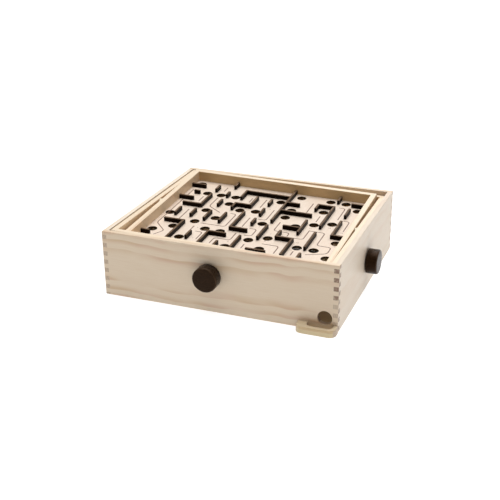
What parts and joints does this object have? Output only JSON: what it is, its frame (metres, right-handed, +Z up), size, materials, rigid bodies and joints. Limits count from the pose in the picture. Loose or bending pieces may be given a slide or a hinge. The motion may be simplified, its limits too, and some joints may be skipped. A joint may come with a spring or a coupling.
{
  "type": "tilt maze game",
  "caption": "Wooden box with a labyrinth board full of ball holes in nested tilting frames, dark control knobs and a corner ball tray.",
  "frame": {"origin": "centre of the box's underside, on the surface the game stands on", "axes": "+X to the player's right (side knob's side), +Y away from the player (the front knob is at -Y), +Z up"},
  "size_m": [0.3473, 0.3043, 0.0985],
  "materials": {
    "box_pine": "clear-lacquered pale pine, box walls and tray",
    "frame_pine": "clear-lacquered pale pine, frame rails",
    "batten_pine": "raw sawn pine",
    "hardboard": "smooth hardboard",
    "ramp_ply": "raw pale plywood",
    "board_ply": "pale birch ply with a thin printed path",
    "dark_strip": "dark brown stained wood, satin",
    "dark_knob": "dark brown lacquered turned wood, satin",
    "steel": "drawn steel, dulled",
    "nylon": "natural nylon",
    "cord": "braided polyester cord"
  },
  "bodies": {
    "box": {"front_wall": "box_pine", "back_wall": "box_pine", "left_wall": "box_pine", "right_wall": "box_pine", "base_panel": "hardboard", "base_nails": "steel", "ball_ramp": "ramp_ply", "ramp_batten_left": "batten_pine", "ramp_batten_right": "batten_pine", "ramp_batten_back": "batten_pine", "ball_tray": "box_pine", "front_bush": "nylon", "back_bush": "nylon", "right_bush": "nylon", "left_bush": "nylon", "outer_pivot_pins": "steel", "outer_pivot_washers": "nylon"},
    "outer_frame": {"outer_rail_front": "frame_pine", "outer_rail_back": "frame_pine", "outer_rail_left": "frame_pine", "outer_rail_right": "frame_pine", "inner_pivot_pins": "steel", "inner_pivot_washers": "nylon", "outer_cord_eyes": "steel", "outer_cord": "cord", "outer_cord_spring": "steel"},
    "maze": {"inner_rail_front": "frame_pine", "inner_rail_back": "frame_pine", "inner_rail_left": "frame_pine", "inner_rail_right": "frame_pine", "maze_board": "board_ply", "maze_strips_long": "dark_strip", "maze_strips_cross": "dark_strip", "inner_cord_eyes": "steel", "inner_cord": "cord", "inner_cord_spring": "steel"},
    "front_knob": {"front_knob": "dark_knob", "front_shaft": "steel", "front_shaft_clips": "steel"},
    "side_knob": {"side_knob": "dark_knob", "side_shaft": "steel", "side_shaft_clips": "steel"}
  },
  "joints": [
    {"name": "outer_tilt", "type": "hinge", "parent": "box", "child": "outer_frame", "pos_m": [0, 0, 0.0835], "axis": [0, 1, 0], "range_deg": [-6.1, 3.9], "deforming": ["outer_cord"]},
    {"name": "inner_tilt", "type": "hinge", "parent": "outer_frame", "child": "maze", "pos_m": [0, 0, 0.0835], "axis": [0.9998, 0, -0.0192], "range_deg": [-8.1, 1.9], "deforming": ["inner_cord"]},
    {"name": "front_knob_turn", "type": "hinge", "parent": "box", "child": "front_knob", "pos_m": [-0.0094, -0.1435, 0.0522], "axis": [0, 1, 0], "range_deg": [-60.9, 39]},
    {"name": "side_knob_turn", "type": "hinge", "parent": "box", "child": "side_knob", "pos_m": [0.165, -0.0018, 0.041], "axis": [1, 0, 0], "range_deg": [-104.1, 24.5]}
  ],
  "couplings": [
    {"joint": "front_knob_turn", "follows": "outer_tilt", "ratio": 9.96},
    {"joint": "side_knob_turn", "follows": "inner_tilt", "ratio": 12.83}
  ]
}
